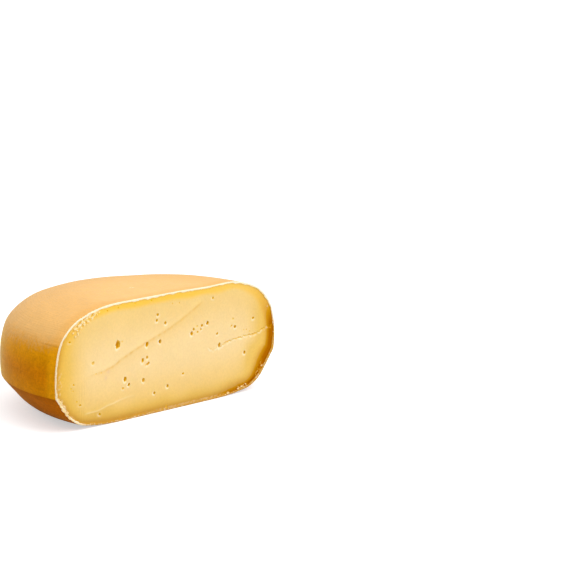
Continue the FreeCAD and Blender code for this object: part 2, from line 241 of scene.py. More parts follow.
class GoudaColours(bpy.types.PropertyGroup):
    """The colours of the cheese."""
    # The top's paleness is partly painted light, and the side's deeper amber partly painted shade.
    rind_top_and_light: colour("Rind's top", "#F1BF77", "Coating on the top and the shoulders")
    rind_side_and_shade: colour("Rind's side", "#D88E00", "Coating on the side band")
    # Its brighter, yellower strip by the cut is painted light, standing for light shining through
    # there.
    rind_glow_by_cut: colour("Rind by the cut", "#EC9F08", "Coating that the knife dragged thin")
    # Its darker, redder amber, low on the side and on the bevel, is painted shade.
    rind_low_shaded: colour("Rind's foot", "#C46A00", "Coating low on the side and under it")
    coat_edge: colour("Coating's edge", "#FFF1CF", "Cut edge of the coating")
    # Its brown on the right and along the bottom is partly real smearing and partly painted shade.
    edge_low_and_shaded: colour("Low edge", "#CB930C", "Cut edge of the coating low down and on the right")
    paste: colour("Paste", "#F7D89D", "Inside of the cheese")
    # Its darker yellow is partly the paste's own colour and partly painted shade.
    paste_outer_and_shaded: colour("Outer paste", "#ECC366", "Inside of the cheese, away from its heart")
    zone: colour("Under-rind zone", "#FAC84E", "Drier, deeper yellow paste beside the rind")
    # Its duller, darker yellow is partly the zone's own colour and partly painted shade.
    zone_low_and_shaded: colour("Low zone", "#E6BB54", "The same zone along the base and on the left")
    # Its dark orange is partly the paste's own drier colour and partly painted shade.
    zone_dried_and_shaded: colour("Deep zone", "#AE6400", "The same zone where it has dried most")
    # The amber inside the eyes and the split, and the darker hollow, are painted shade.
    eye: colour("Eye", "#F2C000", "Inside of the eyes and of the split")
    eye_dark: colour("Eye's hollow", "#B67600", "Deepest and most shaded paste in an eye")
    # The knife line is partly smeared paste and partly painted shade under the knife's step.
    knife_line: colour("Knife line", "#EBBC60", "Paste smeared where the knife paused")
    # On the lower lips of the eyes and the split this pale colour is painted highlight; on the
    # flakes and the torn rim it is the paste's own.
    lip: colour("Eye's lip", "#FFF0C8", "Smeared paste on the lips of the eyes and the split")
    spot: colour("Spot", "#E6C09A", "Faint purple-grey spots in the paste")


class GoudaStage(bpy.types.PropertyGroup):
    """Floor, lights and camera."""
    azimuth: angle("Azimuth", -48.52, "Camera's direction from the wheel's axis, from -Y to +X")
    elevation: angle("Elevation", 13.684, "Camera's height above the horizon")
    distance: length("Distance", 1618.4, "Camera's distance from the foot of the axis")
    aim: FloatVectorProperty(name="Aim", default=(0.19954, -0.02285, 0.07254), subtype="XYZ",
                             unit="LENGTH", description="Point that the camera looks at")
    roll: angle("Roll", 2.56, "Turn of the camera about its line of sight")
    lens: FloatProperty(name="Lens", default=127.7, min=1.0, unit="CAMERA",
                        description="Focal length in millimetres")
    ambient: FloatProperty(name="Ambient", default=0.6, min=0.0,
                           description="Light from all round")
    key: FloatProperty(name="Key", default=1.56, min=0.0,
                       description="Light from the front, above and to the right")
    overhead: FloatProperty(name="Overhead", default=1.12, min=0.0,
                            description="Light from straight above")


# ---------------------------------------------------------------- help with curves and fields

def smooth(low, high, value):
    """0 below low and 1 above high, with a soft rise between them."""
    share = np.clip((value - low) / (high - low), 0, 1)
    return share * share * (3 - 2 * share)


def bell(value, spread):
    """1 at zero, falling to nothing over about twice the spread."""
    return np.exp(-(value / spread) ** 2)


def unit(vectors):
    """The vectors, each one long."""
    return vectors / np.linalg.norm(vectors, axis=1)[:, None]


def ripple(points, wavelength, rng, waves=28):
    """A smooth random field of about unit size over the points."""
    headings = unit(rng.normal(size=(waves, points.shape[1])))
    pitch = 2 * math.pi / (wavelength * rng.uniform(0.7, 1.5, waves))
    phase = rng.uniform(0, 2 * math.pi, waves)
    return np.cos(points @ (headings * pitch[:, None]).T + phase).sum(1) * math.sqrt(2 / waves)


def spaced(line, gap):
    """The line's points again, at even steps of about the gap, with all their columns."""
    line = np.asarray(line, float)
    steps = np.hypot(*np.diff(line[:, :2], axis=0).T)
    along = np.concatenate([[0], np.cumsum(steps)])
    at = np.linspace(0, along[-1], max(int(along[-1] / gap), 2) + 1)
    return np.stack([np.interp(at, along, column) for column in line.T], 1)


def across_line(line, points):
    """Offset of each point from the line, positive on its left, and its share along it."""
    start, end = line[:-1, :2], line[1:, :2]
    run = end - start
    reach = points[:, None, :] - start
    share = np.clip((reach * run).sum(2) / (run * run).sum(1), 0, 1)
    gap = reach - share[:, :, None] * run
    away = np.hypot(gap[:, :, 0], gap[:, :, 1])
    nearest = away.argmin(1)
    rows = np.arange(len(points))
    side = run[nearest, 0] * reach[rows, nearest, 1] - run[nearest, 1] * reach[rows, nearest, 0]
    return np.copysign(away[rows, nearest], side), (nearest + share[rows, nearest]) / len(run)


# ---------------------------------------------------------------- the rind

def turned_section(shape):
    """The section's points at even steps, and how far along it the two creases are."""
    legs = (
        (0, 0, shape.base_flat), (0, shape.sweep_end, shape.base_sweep),
        (shape.sweep_end, shape.bevel, shape.base_turn),
        (shape.bevel, shape.bevel, shape.bevel_run),
        (shape.low_lean, math.pi / 2, shape.low_side),
        (math.pi / 2, shape.high_lean, shape.high_side),
        (shape.top_start, shape.turn_end, shape.top_turn),
        (shape.turn_end, shape.top_edge, shape.top_sweep),
    )
    at = np.zeros(2)
    line, ends = [at], []
    for first, last, size in legs:
        run = size if first == last else size * (last - first)
        slope = np.linspace(first, last, int(run / SECTION_STEP) + 1)
        middle = (slope[1:] + slope[:-1]) / 2
        moves = run / len(middle) * np.stack([np.cos(middle), np.sin(middle)], 1)
        line.extend(at + np.cumsum(moves, axis=0))
        at = line[-1]
        ends.append(len(line) - 1)
    rise = WHEEL_HEIGHT - at[1]
    inward = np.linspace(at[0], 0, int(at[0] / SECTION_STEP) + 1)[1:]
    line = np.array(line + [(r, WHEEL_HEIGHT - rise * (r / at[0]) ** 2) for r in inward])
    line[:, 0] *= WHEEL_RADIUS / line[:, 0].max()
    # The creases are the corners at the end of the bevel and at the end of the high side.
    creases = (ends[3], ends[5])
    for crease, spread in zip(creases, (shape.low_round, shape.high_round)):
        reach = int(4 * spread / SECTION_STEP)
        kernel = bell(np.arange(-reach, reach + 1) * SECTION_STEP, spread * math.sqrt(2))
        kernel /= kernel.sum()
        padded = np.pad(line, ((reach, reach), (0, 0)), "edge")
        soft = np.stack([np.convolve(padded[:, i], kernel, "valid") for i in (0, 1)], 1)
        near = bell((np.arange(len(line)) - crease) * SECTION_STEP, 4 * spread)
        line = line + near[:, None] * (soft - line)
    return line, [crease * SECTION_STEP for crease in creases]


def rind_rows(shape, line, creases):
    """The rows of the rind: radius, height, outward slope and length along the section.

    They crowd at the creases.
    """
    along = np.arange(len(line)) * SECTION_STEP
    first = int(np.searchsorted(line[:, 0], CAP_RADIUS))
    last = len(line) - 1 - int(np.searchsorted(line[::-1, 0], CAP_RADIUS))
    gap = shape.row_gap * (1 - 0.62 * bell(along - creases[0], 2.5 * MM)
                           - 0.3 * bell(along - creases[1], 7 * MM)
                           - 0.4 * bell(along - creases[1] + 1 * MM, 1.5 * MM))
    count = np.cumsum(SECTION_STEP / gap[first:last + 1])
    at = first + np.interp(np.arange(1, int(count[-1])), count, np.arange(len(count)))
    normal = unit(np.stack([np.gradient(line[:, 1]), -np.gradient(line[:, 0])], 1))
    index = np.arange(len(line))
    return [np.interp(at, index, column)[:, None] for column in (*line.T, *normal.T, along)]


def nicks(radius, up, along, left, rng):
    """How deep the cut edge is nicked at each row, where the paste tore beside it."""
    rough = np.zeros(radius.shape)
    for across, height, wide, high, _, strength in TORN:
        if (across < 0) == left:
            away = np.hypot(radius - abs(across) * MM, up - height * MM)
            rough += strength * bell(away, max(wide, high) * MM)
    return 0.45 * MM * rough * np.clip(ripple(along, 3 * MM, rng)[:, None], 0, 1.5)


def even_points(low, high, gap):
    """Points in an even triangular pattern over a rectangle, and which are the coarse ones.

    The coarse ones make the same pattern at twice the gap.
    """
    across, rise = np.meshgrid(np.arange(low[0], high[0], gap),
                               np.arange(low[1], high[1], gap * math.sqrt(0.75)))
    row = np.arange(across.shape[0])[:, None]
    column = np.arange(across.shape[1])
    coarse = (row % 2 == 0) & ((column + row // 2) % 2 == 0)
    return np.stack([(across + row % 2 * gap / 2).ravel(), rise.ravel()], 1), coarse.ravel()


def filled(loop, inner):
    """Triangles, by number, that join a closed loop of points to the points inside it.

    Straight stretches of the loop are bowed out a little first, because they
    would give triangles with no width.
    """
    points = np.concatenate([loop, inner])
    points = points - (points.max(0) + points.min(0)) / 2
    points = points / np.abs(points).max() * 100
    bowed = points * (1 - 8e-6 * (points ** 2).sum(1))[:, None]
    ids = np.arange(len(loop))
    made = delaunay_2d_cdt([Vector(point) for point in bowed],
                           np.stack([ids, np.roll(ids, -1)], 1).tolist(), [], 0, 1e-6, True)
    faces = []
    for face in made[2]:
        corners = [made[3][corner][0] for corner in face]
        first = corners.index(min(corners))
        corners = corners[first:] + corners[:first]
        # A face outside the loop has all its corners on it, in backward order.
        if max(corners) >= len(loop) or corners[1] < corners[2]:
            faces.append(corners)
    if len(made[0]) != len(points) or len(faces) != 2 * len(inner) + len(loop) - 2:
        raise RuntimeError("a patch of the mesh lost or gained points or faces")
    return faces


def cap_points(profile, reach, gap, cut):
    """Even points that fill the top or the base, those along the cut first.

    Gives how many lie along the cut, the points, and how far each is from the axis.
    """
    half = math.sqrt(reach ** 2 - cut ** 2)
    chord = np.linspace(half, -half, int(2 * half / gap) + 1)[1:-1]
    inner = even_points((-reach, gap * 0.8 - cut), (reach, reach), gap)[0]
    inner = inner[np.hypot(inner[:, 0], inner[:, 1]) < reach - 0.5 * gap]
    flat = np.concatenate([np.stack([chord, np.full(len(chord), -cut)], 1), inner])
    away = np.hypot(flat[:, 0], flat[:, 1])
    return len(chord), np.column_stack([flat, np.interp(away, *profile.T)]), away


def rind_marks(flat, past_high, from_cut):
    """Where the side is scratched beside the cut, and where the top is scuffed.

    The scratched groove also carries painted shade, and its raised upper edge a painted highlight.
    """
    beside_cut = (flat[:, 0] < 0) * smooth(26, 3, from_cut)
    scratch = beside_cut * (bell(past_high + 1.4, 0.5) - 0.7 * bell(past_high - 0.2, 0.7))
    across, back, long = SCUFF
    away = np.hypot((flat[:, 0] / MM - across) / long, flat[:, 1] / MM - back)
    return scratch, bell(away, 1.3) * (flat[:, 2] > WHEEL_HEIGHT / 2)


def slump(flat, past_low, shape):
    """Moves the rind's points to where the soft cheese has settled out of its turned shape."""
    across = flat[:, 0] / MM
    fall = (shape.crease_drop * smooth(70, -90, across)
            - shape.crease_rise * smooth(90, 125, across))
    flat[:, 2] -= fall * bell(past_low, 14)
    shoulder = smooth(35, 75, across) * smooth(130, 90, across)
    flat[:, 2] += shape.swell * shoulder * smooth(60, 85, flat[:, 2] / MM)
    flat[:, 0] += shape.bulge * smooth(70, 125, across) * bell(flat[:, 2] / MM - 34, 22)
    flat[:, 2] = np.maximum(flat[:, 2], 0)


def rind_shades(height, past_low, past_high, from_cut):
    """What colours the rind: its side, its foot, its shoulder and the strip by the cut.

    The side, foot, bevel and shoulder are darker partly by painted shade, and the strip is painted
    light.
    """
    side = smooth(10, -14, past_high)
    below = smooth(0.35, -0.35, past_low)
    above = (0.62 - 0.22 * smooth(44, 32, height)) * (1 - below)
    # The strip within about 12 mm of the cut is painted light, shining through the rind's edge.
    glow_by_cut = smooth(12, 4, from_cut) * (0.25 + 0.75 * smooth(1, -3, past_high))
    return {
        "side": side,
        "ragged": 5.5 * side * (1 - side) + side * (0.12 + 0.5 * smooth(-28, -10, past_high)),
        "dust": side * (1 - 0.75 * below),
        # The shoulder is darkened a little, as painted shade where it turns from the light.
        "shoulder": smooth(100, 45, past_high),
        # The foot darkens towards the bevel: painted shade.
        "foot": smooth(62, 44, height) * (above + below),
        # Under the lower crease the bevel is darkened, most at the crease: painted shade.
        "under": below * (0.28 + 0.72 * bell(past_low, 6)),
        "weave": smooth(-2, 9, past_high) * smooth(72, 38, past_high),
        "glow_by_cut": glow_by_cut * smooth(-0.5, 1, past_low),
    }


def rind_faces(flat, grid_shape, patches):
    """The rind's faces: those of its grid, then those of the base and of the top.

    Gives the closed loop of points along the cut too.
    """
    ids = np.arange(grid_shape[0] * grid_shape[1]).reshape(grid_shape)
    low, high = ids[:-1], ids[1:]
    quads = np.stack([low[:, :-1], low[:, 1:], high[:, 1:], high[:, :-1]], 2)
    faces = quads.reshape(-1, 4).tolist()
    start = ids.size
    chords = []
    for row, order, (count, points, _) in zip((0, -1), (-1, 1), patches):
        numbers = start + np.arange(len(points))
        edge, inner = numbers[:count], numbers[count:]
        border = np.concatenate([ids[row], edge[::-1]])
        numbers = np.concatenate([border, inner])
        patch = filled(flat[border][:, :2], flat[inner][:, :2])
        faces += [numbers[face][::order].tolist() for face in patch]
        chords.append(edge)
        start += len(points)
    return faces, np.concatenate([chords[0][::-1], ids[:, 0], chords[1], ids[::-1, -1]])


def rind_mesh(shape, seed):
    """The rind's points and faces, the loop of points along the cut, and fields to colour it.

    It is a grid of rows up the section and columns round the axis. Near the axis,
    where the columns would crowd, a patch of even points fills the top and the base.
    """
    rng = np.random.default_rng(seed)
    line, creases = turned_section(shape)
    radius, up, slope_r, slope_z, along = rind_rows(shape, line, creases)
    # The columns lie a third closer beside the cut than they would evenly spread.
    share = np.linspace(0, 1, shape.columns)
    share = share - 0.35 * np.sin(2 * math.pi * share) / (2 * math.pi)
    cut = shape.cut_offset - EDGE_ROUND

    def placed(radius, up):
        """The grid's points, with every column's ends on the cut."""
        reach = np.arcsin(cut / radius)
        turn = -reach + share * (math.pi + 2 * reach)
        return np.stack(np.broadcast_arrays(radius * np.cos(turn), radius * np.sin(turn), up), 2)

    def spread(column, *ends):
        """A value for each row, for all the grid's points, and those of the patches."""
        return np.concatenate([np.broadcast_to(column, grid.shape[:2]).ravel(), *ends])

    grid = placed(radius, up)
    middle = len(line) // 2
    patches = [cap_points(profile, radius[row, 0], 1.15 * shape.row_gap, cut)
               for row, profile in ((0, line[:middle]), (-1, line[:middle:-1]))]
    flat = np.concatenate([grid.reshape(-1, 3)] + [points for _, points, _ in patches])
    lengths = spread(along, patches[0][2], (len(line) - 1) * SECTION_STEP - patches[1][2])
    # In millimetres: how far past each crease the points lie, and how far from the cut.
    past_low, past_high = ((lengths - crease) / MM for crease in creases)
    from_cut = (flat[:, 1] + cut) / MM

    # How far the rind strays outwards: uneven all over, nicked, scratched and scuffed.
    stray = (ripple(flat, 110 * MM, rng) + 0.22 * ripple(flat, 30 * MM, rng)
             + 0.08 * ripple(flat, 6 * MM, rng))
    stray *= shape.unevenness * smooth(2 * MM, 14 * MM, flat[:, 2])
    for left in (False, True):
        depth = spread(nicks(radius, up, along, left, rng), *[np.zeros(len(p[1])) for p in patches])
        stray -= depth * ((flat[:, 0] < 0) == left) * bell(from_cut, 1.6)
    scratch, scuff = rind_marks(flat, past_high, from_cut)
    stray -= 0.2 * MM * scratch + 0.25 * MM * scuff
    on_caps = len(flat) - grid.shape[0] * grid.shape[1]
    on_grid = stray[:-on_caps].reshape(grid.shape[:2])
    grid = placed(radius + slope_r * on_grid, up + slope_z * on_grid)
    flat = np.concatenate([grid.reshape(-1, 3), flat[-on_caps:]])
    flat[-on_caps:, 2] += stray[-on_caps:]
    slump(flat, past_low, shape)

    faces, loop = rind_faces(flat, grid.shape[:2], patches)
    fields = rind_shades(flat[:, 2] / MM, past_low, past_high, from_cut)
    fields.update(scratch=scratch, scuff=scuff)
    turn = np.arctan2(flat[:, 1], flat[:, 0])
    turn = np.where(turn < -math.pi / 2, turn + 2 * math.pi, turn)
    cloth = np.stack([turn * WHEEL_RADIUS, lengths, np.zeros(len(flat))], 1)
    flat[:, 1] += LOW.y + shape.cut_offset
    return flat, faces, loop, fields, cloth


# ---------------------------------------------------------------- the cut face

def leaned(points, spot):
    """Where the points lie in a leaning oval: sideways and upwards shares of its half sizes."""
    across, up, width, height, lean = spot[:5]
    cosine, sine = math.cos(lean * DEGREE), math.sin(lean * DEGREE)
    right, high = (points - (across, up)).T
    return (right * cosine - high * sine) / width, (right * sine + high * cosine) / height


def eye_shares(points, number, eye):
    """How far out each point is in an eye, 1 at its uneven rim, and how far up."""
    rng = np.random.default_rng(100 + number)
    side, rise = leaned(points, (*eye[:2], eye[2] * 0.5, eye[3] * 0.5, eye[4]))
    turn = np.arctan2(rise, side)
    uneven = 1 + sum(rng.uniform(0.02, 0.05) * np.cos(waves * turn + rng.uniform(0, 6))
                     for waves in (2, 3, 5))
    far = (np.abs(side) ** 2.3 + np.abs(rise) ** 2.3) ** (1 / 2.3)
    return far / uneven, side, rise


def eye_points(eye):
    """Mesh points in rings round an eye's rim and down into it."""
    across, up, width, height, lean = eye[:5]
    count = max(int(3.2 * (width + height)), 13)
    around = np.linspace(0, 2 * math.pi, count, endpoint=False)
    cosine, sine = math.cos(lean * DEGREE), math.sin(lean * DEGREE)
    rings = []
    for ring, share in enumerate(EYE_RINGS):
        turn = around + (ring % 2) * math.pi / count
        if share < 0.7:
            turn = turn[::2]
        side, rise = share * width * 0.5 * np.cos(turn), share * height * 0.5 * np.sin(turn)
        rings.append(np.stack([across + side * cosine + rise * sine,
                               up - side * sine + rise * cosine], 1))
    return np.concatenate(rings + [[(across, up)]])


def split_lines(rng):
    """The split's pieces, finely stepped and unsteady."""
    lines = []
    for piece in SPLIT:
        line = spaced(piece, 0.75)
        # Its points jitter, on a wave 3.7 mm long, and its width comes and goes.
        line[1:-1, :2] += rng.normal(size=(len(line) - 2, 2)) * (0.15, 0.38)
        line[1:-1, 1] += 0.42 * np.sin(line[1:-1, 0] * 2 * math.pi / 3.7)
        line[1:-1, 2] *= rng.uniform(0.4, 1.3, len(line) - 2)
        lines.append(line)
    return lines


def beside(line, offsets):
    """Mesh points in rows beside a line."""
    run = unit(np.gradient(line[:, :2], axis=0))
    normal = np.stack([-run[:, 1], run[:, 0]], 1)
    return np.concatenate([line[:, :2] + normal * offset for offset in offsets])


def torn_amount(points):
    """How torn the paste is at each point."""
    amount = np.zeros(len(points))
    for zone in TORN:
        side, rise = leaned(points, zone)
        amount = np.maximum(amount, zone[5] * (1 - smooth(0.55, 1.35, np.hypot(side, rise))))
    return amount


def thinned(points, gap):
    """The points in order, without those nearer than the gap to one already kept."""
    cell = gap / math.sqrt(2)
    kept = {}
    for x, z in points:
        column, row = math.floor(x / cell), math.floor(z / cell)
        near = (kept.get((i, j)) for i in range(column - 2, column + 3)
                for j in range(row - 2, row + 3))
        if all(other is None or math.hypot(other[0] - x, other[1] - z) >= gap for other in near):
            kept[column, row] = (x, z)
    return np.array(list(kept.values()))


def face_points(ring, lines, cut):
    """Mesh points inside the innermost ring: features first, then an even fill."""
    ruled = [(line, *SPLIT_ROWS) for line in lines]
    ruled += [(spaced(KNIFE_STEP, LINE_GAP), *STEP_ROWS), (spaced(RIDGE, LINE_GAP), *RIDGE_ROWS)]
    features = [eye_points(eye) for eye in EYES] + [beside(line, rows) for line, rows, _ in ruled]
    # The fill is fine where the paste is torn and where the knife chattered, and coarse elsewhere.
    fill, coarse = even_points(*FACE_AREA, cut.mesh_gap / MM / 2)
    across, up = fill.T
    chatter = (np.abs(across - CHATTER) < 4) & (up > 3) & (up < 42)
    fill = fill[coarse | (torn_amount(fill) > 0.12) | chatter]
    for line, _, band in ruled:
        fill = fill[np.abs(across_line(line, fill)[0]) > band]
    for across, up, width, height, lean, _ in EYES:
        side, rise = leaned(fill, (across, up, width / 2 + 0.5, height / 2 + 0.5, lean))
        fill = fill[np.hypot(side, rise) > 1.35]
    points = np.concatenate(features + [fill])
    gap_to_ring = across_line(np.vstack([ring, ring[:1]]), points)[0]
    return thinned(points[gap_to_ring > LEAST_TO_RING], LEAST_GAP)


def under_rind(points, outline, normals):
    """Distance from the outline, in millimetres, and the outward direction round about."""
    away, outward = np.empty(len(points)), np.empty((len(points), 2))
    # In batches, because every point is measured against the whole outline.
    batch = 4000
    for start in range(0, len(points), batch):
        part = slice(start, start + batch)
        gap = np.hypot(*(points[part, None, :] - outline).transpose(2, 0, 1))
        away[part] = gap.min(1)
        weight = np.exp((away[part, None] - gap) / 3.0)
        outward[part] = weight @ normals / weight.sum(1)[:, None]
    return away, unit(outward)


def at_least(shades, name, values):
    """Raises one of the shades to the values where it is below them."""
    shades[name] = np.maximum(shades[name], values)


def rim_shades(points, away, facing, cut, rng):
    """The drier zone under the rind, the outer paste and the coating's browner edge, all partly
    painted shade.
    """
    top, bottom, right, left = facing
    across, up = points.T
    coat = cut.coat / MM
    corner = 4 * right * bottom
    # The zone is narrow along the top, with a crisp edge, and widest at the right end.
    width = cut.zone / MM * (0.95 * top + 2.2 * left + 1.65 * bottom + 2.4 * right + 0.6 * corner)
    width = width * (1 + 0.1 * ripple(points, 40, rng))
    reach = (away - coat) / width
    crisp = 0.45 * top + 0.1 * left + 0.05 * bottom + 0.35 * right
    zone = 1 - smooth(crisp, 1.5 - 0.75 * crisp, reach)
    zone *= 1 - 0.3 * top * smooth(10, 100, across)
    # It is deepest along the right end and its lower corner, and in a band just inside the coating
    # away from the top and right: partly the paste's own drier colour, partly painted shade.
    far_right = bottom * smooth(45, 110, across)
    deep = 0.16 * left + 0.14 * bottom + 0.1 * corner + 0.8 * far_right
    deep = deep * (1 - smooth(-0.1, 1.05, reach))
    driest_and_shaded = 0.6 * (1 - smooth(0.2, 0.8, reach)) * smooth(76, 52, up)
    deep += right * (0.5 * (1 - smooth(0.5, 1.05, reach)) + driest_and_shaded)
    deep += 0.4 * (1 - top) * (1 - right) * bell(away - coat, 3.5)
    # The outer paste is darker towards the rind, more along the bottom and the ends than the top:
    # partly its own colour, partly painted shade.
    outer = 0.55 * top + 1.2 * left + 0.8 * bottom + 1.6 * right + 1.1 * corner
    # The coating's edge browns along the right end and the bottom, partly smears and partly painted
    # shade, and in patches on the left.
    browning_and_shade = (1.8 * right * smooth(66, 50, up) + 1.7 * bottom * smooth(-108, -80, across)
              + 0.5 * left * smooth(14, 24, up) * smooth(84, 66, up))
    return {"outer": np.clip(outer * smooth(46, 4, away), 0, 1), "zone": zone,
            # The zone is duller and darker along the bottom and the left: partly painted shade.
            "low": np.clip(0.6 * left + bottom * smooth(125, 70, across), 0, 1),
            "deep": np.clip(deep, 0, 1), "browning_and_shade": browning_and_shade}


def hollow_eyes(points, depth, shades):
    """Sinks the eyes into the face, and paints shade into their insides and a highlight on their
    lips.
    """
    for number, eye in enumerate(EYES):
        share, small = eye[5], min(eye[2:4])
        far, side, rise = eye_shares(points, number, eye)
        # A bowl with a faint raised rim.
        depth += share * small * np.sqrt(np.clip(1 - far ** 2, 0, 1)) ** 0.9
        depth -= 0.07 * share * bell(far - 1.17, 0.14)
        # Its inside is painted a deeper amber: painted shade in the hollow.
        at_least(shades, "eye", min(0.35 + 0.65 * share, 1) * smooth(1.2, 1.04, far))
        # Its upper left gets painted shade, and the more so the larger it is.
        shaded = smooth(-0.5, 0.9, rise * 0.8 - side * 0.5) * smooth(1.0, 0.75, far)
        at_least(shades, "hollow", min(share, 1) * smooth(0.8, 2.6, small) * shaded)
        # A pale lip along its lower side is painted highlight, where light from above catches the
        # edge.
        below = 0.12 + 0.88 * smooth(0.1, -0.9, (rise + 0.35 * side) / np.maximum(far, 0.1))
        size = min(share + 0.1, 1) * smooth(0.9, 2.3, small)
        rim = (far - 1) * small * 0.5
        at_least(shades, "lip", size * below * bell(rim - 0.6, 0.6) * (far > 1))


def open_split(points, lines, depth, shades, cut, rng):
    """Opens the split piece by piece, fainter at its two ends, with a lip along its foot.

    Its inside is painted shade, and its slightly raised lip is pale with a painted highlight.
    """
    for number, line in enumerate(lines):
        offset, share = across_line(line, points)
        half = np.interp(share * (len(line) - 1), np.arange(len(line)), line[:, 2])
        inside = np.clip(1 - np.abs(offset) / half, 0, 1)
        faint = 0.45 if number in (0, len(lines) - 1) else 1.0
        depth += cut.split_depth / MM * half / 0.6 * faint * inside ** 0.7
        # The split's inside is painted the eyes' amber: painted shade.
        at_least(shades, "eye", 0.8 * faint * smooth(0.0, 0.5, inside))
        lip = np.clip(0.65 + 0.6 * ripple(points, 5, rng), 0.1, 1)
        lip *= 1 - 0.5 * smooth(112, 120, points[:, 0])
        lip *= bell(offset + half + 0.75, 0.65) * (offset < 0)
        # The lip's paleness is painted highlight.
        at_least(shades, "lip", 0.85 * lip)
        depth -= 0.14 * lip


def score_face(points, depth, shades, cut, rng):
    """Leaves the knife's soft step, the pale ridge and the chatter low on the left.

    Painted light and shade follow the step, the ridge and the chatter's grooves.
    """
    across, up = points.T
    offset, share = across_line(spaced(KNIFE_STEP, LINE_GAP), points)
    present = smooth(-0.04, 0.22, share) * smooth(1.0, 0.93, share) * (np.abs(offset) < 25)
    fade = np.where(offset > 0, bell(offset, 9), bell(offset, 14))
    depth += cut.knife_step / MM * (0.5 - smooth(-0.7, 0.7, offset)) * present * fade
    broken = np.clip(0.75 + 0.25 * ripple(points, 6, rng), 0.2, 1)
    # Below the step: paste smeared by the knife, and painted shade under the step's edge.
    shades["smear_and_shade"] = present * (0.55 * broken * bell(offset + 0.5, 1.2)
                                 + 0.2 * (offset < 0) * bell(offset, 9))
    # Painted light on the raised side, just above the step.
    light_and_shade = 0.3 * present * bell(offset - 2.2, 1.6)

    offset, share = across_line(spaced(RIDGE, LINE_GAP), points)
    present = smooth(0, 0.1, share) * smooth(1.0, 0.55, share)
    depth -= 0.16 * present * bell(offset, 0.65)
    # A pale line along the ridge, and painted shade just below it.
    at_least(shades, "lip", 0.32 * present * bell(offset - 0.15, 0.6))
    light_and_shade = light_and_shade - 0.3 * present * bell(offset + 1.2, 1.0)

    # The chatter's grooves, with painted light and shade across them.
    strip = bell(across - CHATTER, 3.4) * smooth(3, 9, up) * smooth(44, 34, up)
    streak = np.cos((across + 0.02 * up) * 2 * math.pi / 2.4)
    depth += 0.05 * strip * streak
    shades["light_and_shade"] = light_and_shade + 0.3 * strip * streak


def tear_rim(points, away, top, inside, depth, shades, cut, rng):
    """Roughens the paste where it tore beside the coating, with pale lips and deep pits in painted
    shade.
    """
    coat = cut.coat / MM
    torn = torn_amount(points) * inside
    rough = ripple(points, 3.0, rng) + 0.45 * ripple(points, 1.4, rng)
    depth -= cut.torn / MM * torn * np.clip(rough, -0.7, 1.6) * (0.6 - 0.25 * top)
    at_least(shades, "lip", 0.9 * torn * smooth(0.25, 1.1, rough))
    band = bell(away - 1.5 * coat, 0.75 * coat)
    at_least(shades, "lip", 0.9 * torn * band * smooth(-1.2, 0.2, rough))
    # Painted shade in the pits.
    at_least(shades, "deep", (0.45 - 0.2 * top) * torn * smooth(-0.6, -1.4, rough))


def face_relief(points, away, outward, lines, cut):
    """Depth of the face at each point, in millimetres, and what colours it there."""
    rng = np.random.default_rng(cut.seed + 1)
    coat = cut.coat / MM
    # How much the rind nearest to each point is its top, its bottom, its right and its left.
    facing = [np.clip(part, 0, 1) ** 2 for part in
              (outward[:, 1], -outward[:, 1], outward[:, 0], -outward[:, 0])]
    depth = cut.waver / MM * (ripple(points, 60, rng) + 0.35 * ripple(points, 14, rng))
    depth *= smooth(0, 12, away)
    # The paste shrinks back beside the coating, whose own edge stands up as a bead.
    inside = smooth(coat * 0.85, coat * 1.5, away)
    bead = (1 - smooth(coat * 0.75, coat * 1.05, away)) * smooth(0, 0.35, away)
    depth += inside * cut.rim_drop / MM * np.exp(-(away - coat).clip(0) / 5) - 0.22 * bead
    shades = rim_shades(points, away, facing, cut, rng)
    shades.update({name: np.zeros(len(points)) for name in ("eye", "hollow", "lip")})
    hollow_eyes(points, depth, shades)
    open_split(points, lines, depth, shades, cut, rng)
    score_face(points, depth, shades, cut, rng)
    tear_rim(points, away, facing[0], inside, depth, shades, cut, rng)
    spot = sum(bell(np.hypot(points[:, 0] - x, points[:, 1] - z), r) for x, z, r in SPOTS)
    shades["spot"] = np.clip(0.6 * spot, 0, 1)
    shades["lip"] = np.clip(shades["lip"], 0, 1)
    return depth, shades


def ring_normals(outline):
    """Outward directions round the outline, turning slowly enough at its creases to draw in."""
    step = np.roll(outline, -1, axis=0) - outline
    size = np.hypot(step[:, 0], step[:, 1])
    along = np.concatenate([[0], np.cumsum(size)])
    gap = np.abs(along[:-1, None] - along[None, :-1])
    gap = np.minimum(gap, along[-1] - gap)
    weight = bell(gap, 3.0) * (size + np.roll(size, 1))
    tangent = weight @ (np.roll(outline, -1, axis=0) - np.roll(outline, 1, axis=0))
    return unit(np.stack([tangent[:, 1], -tangent[:, 0]], 1))


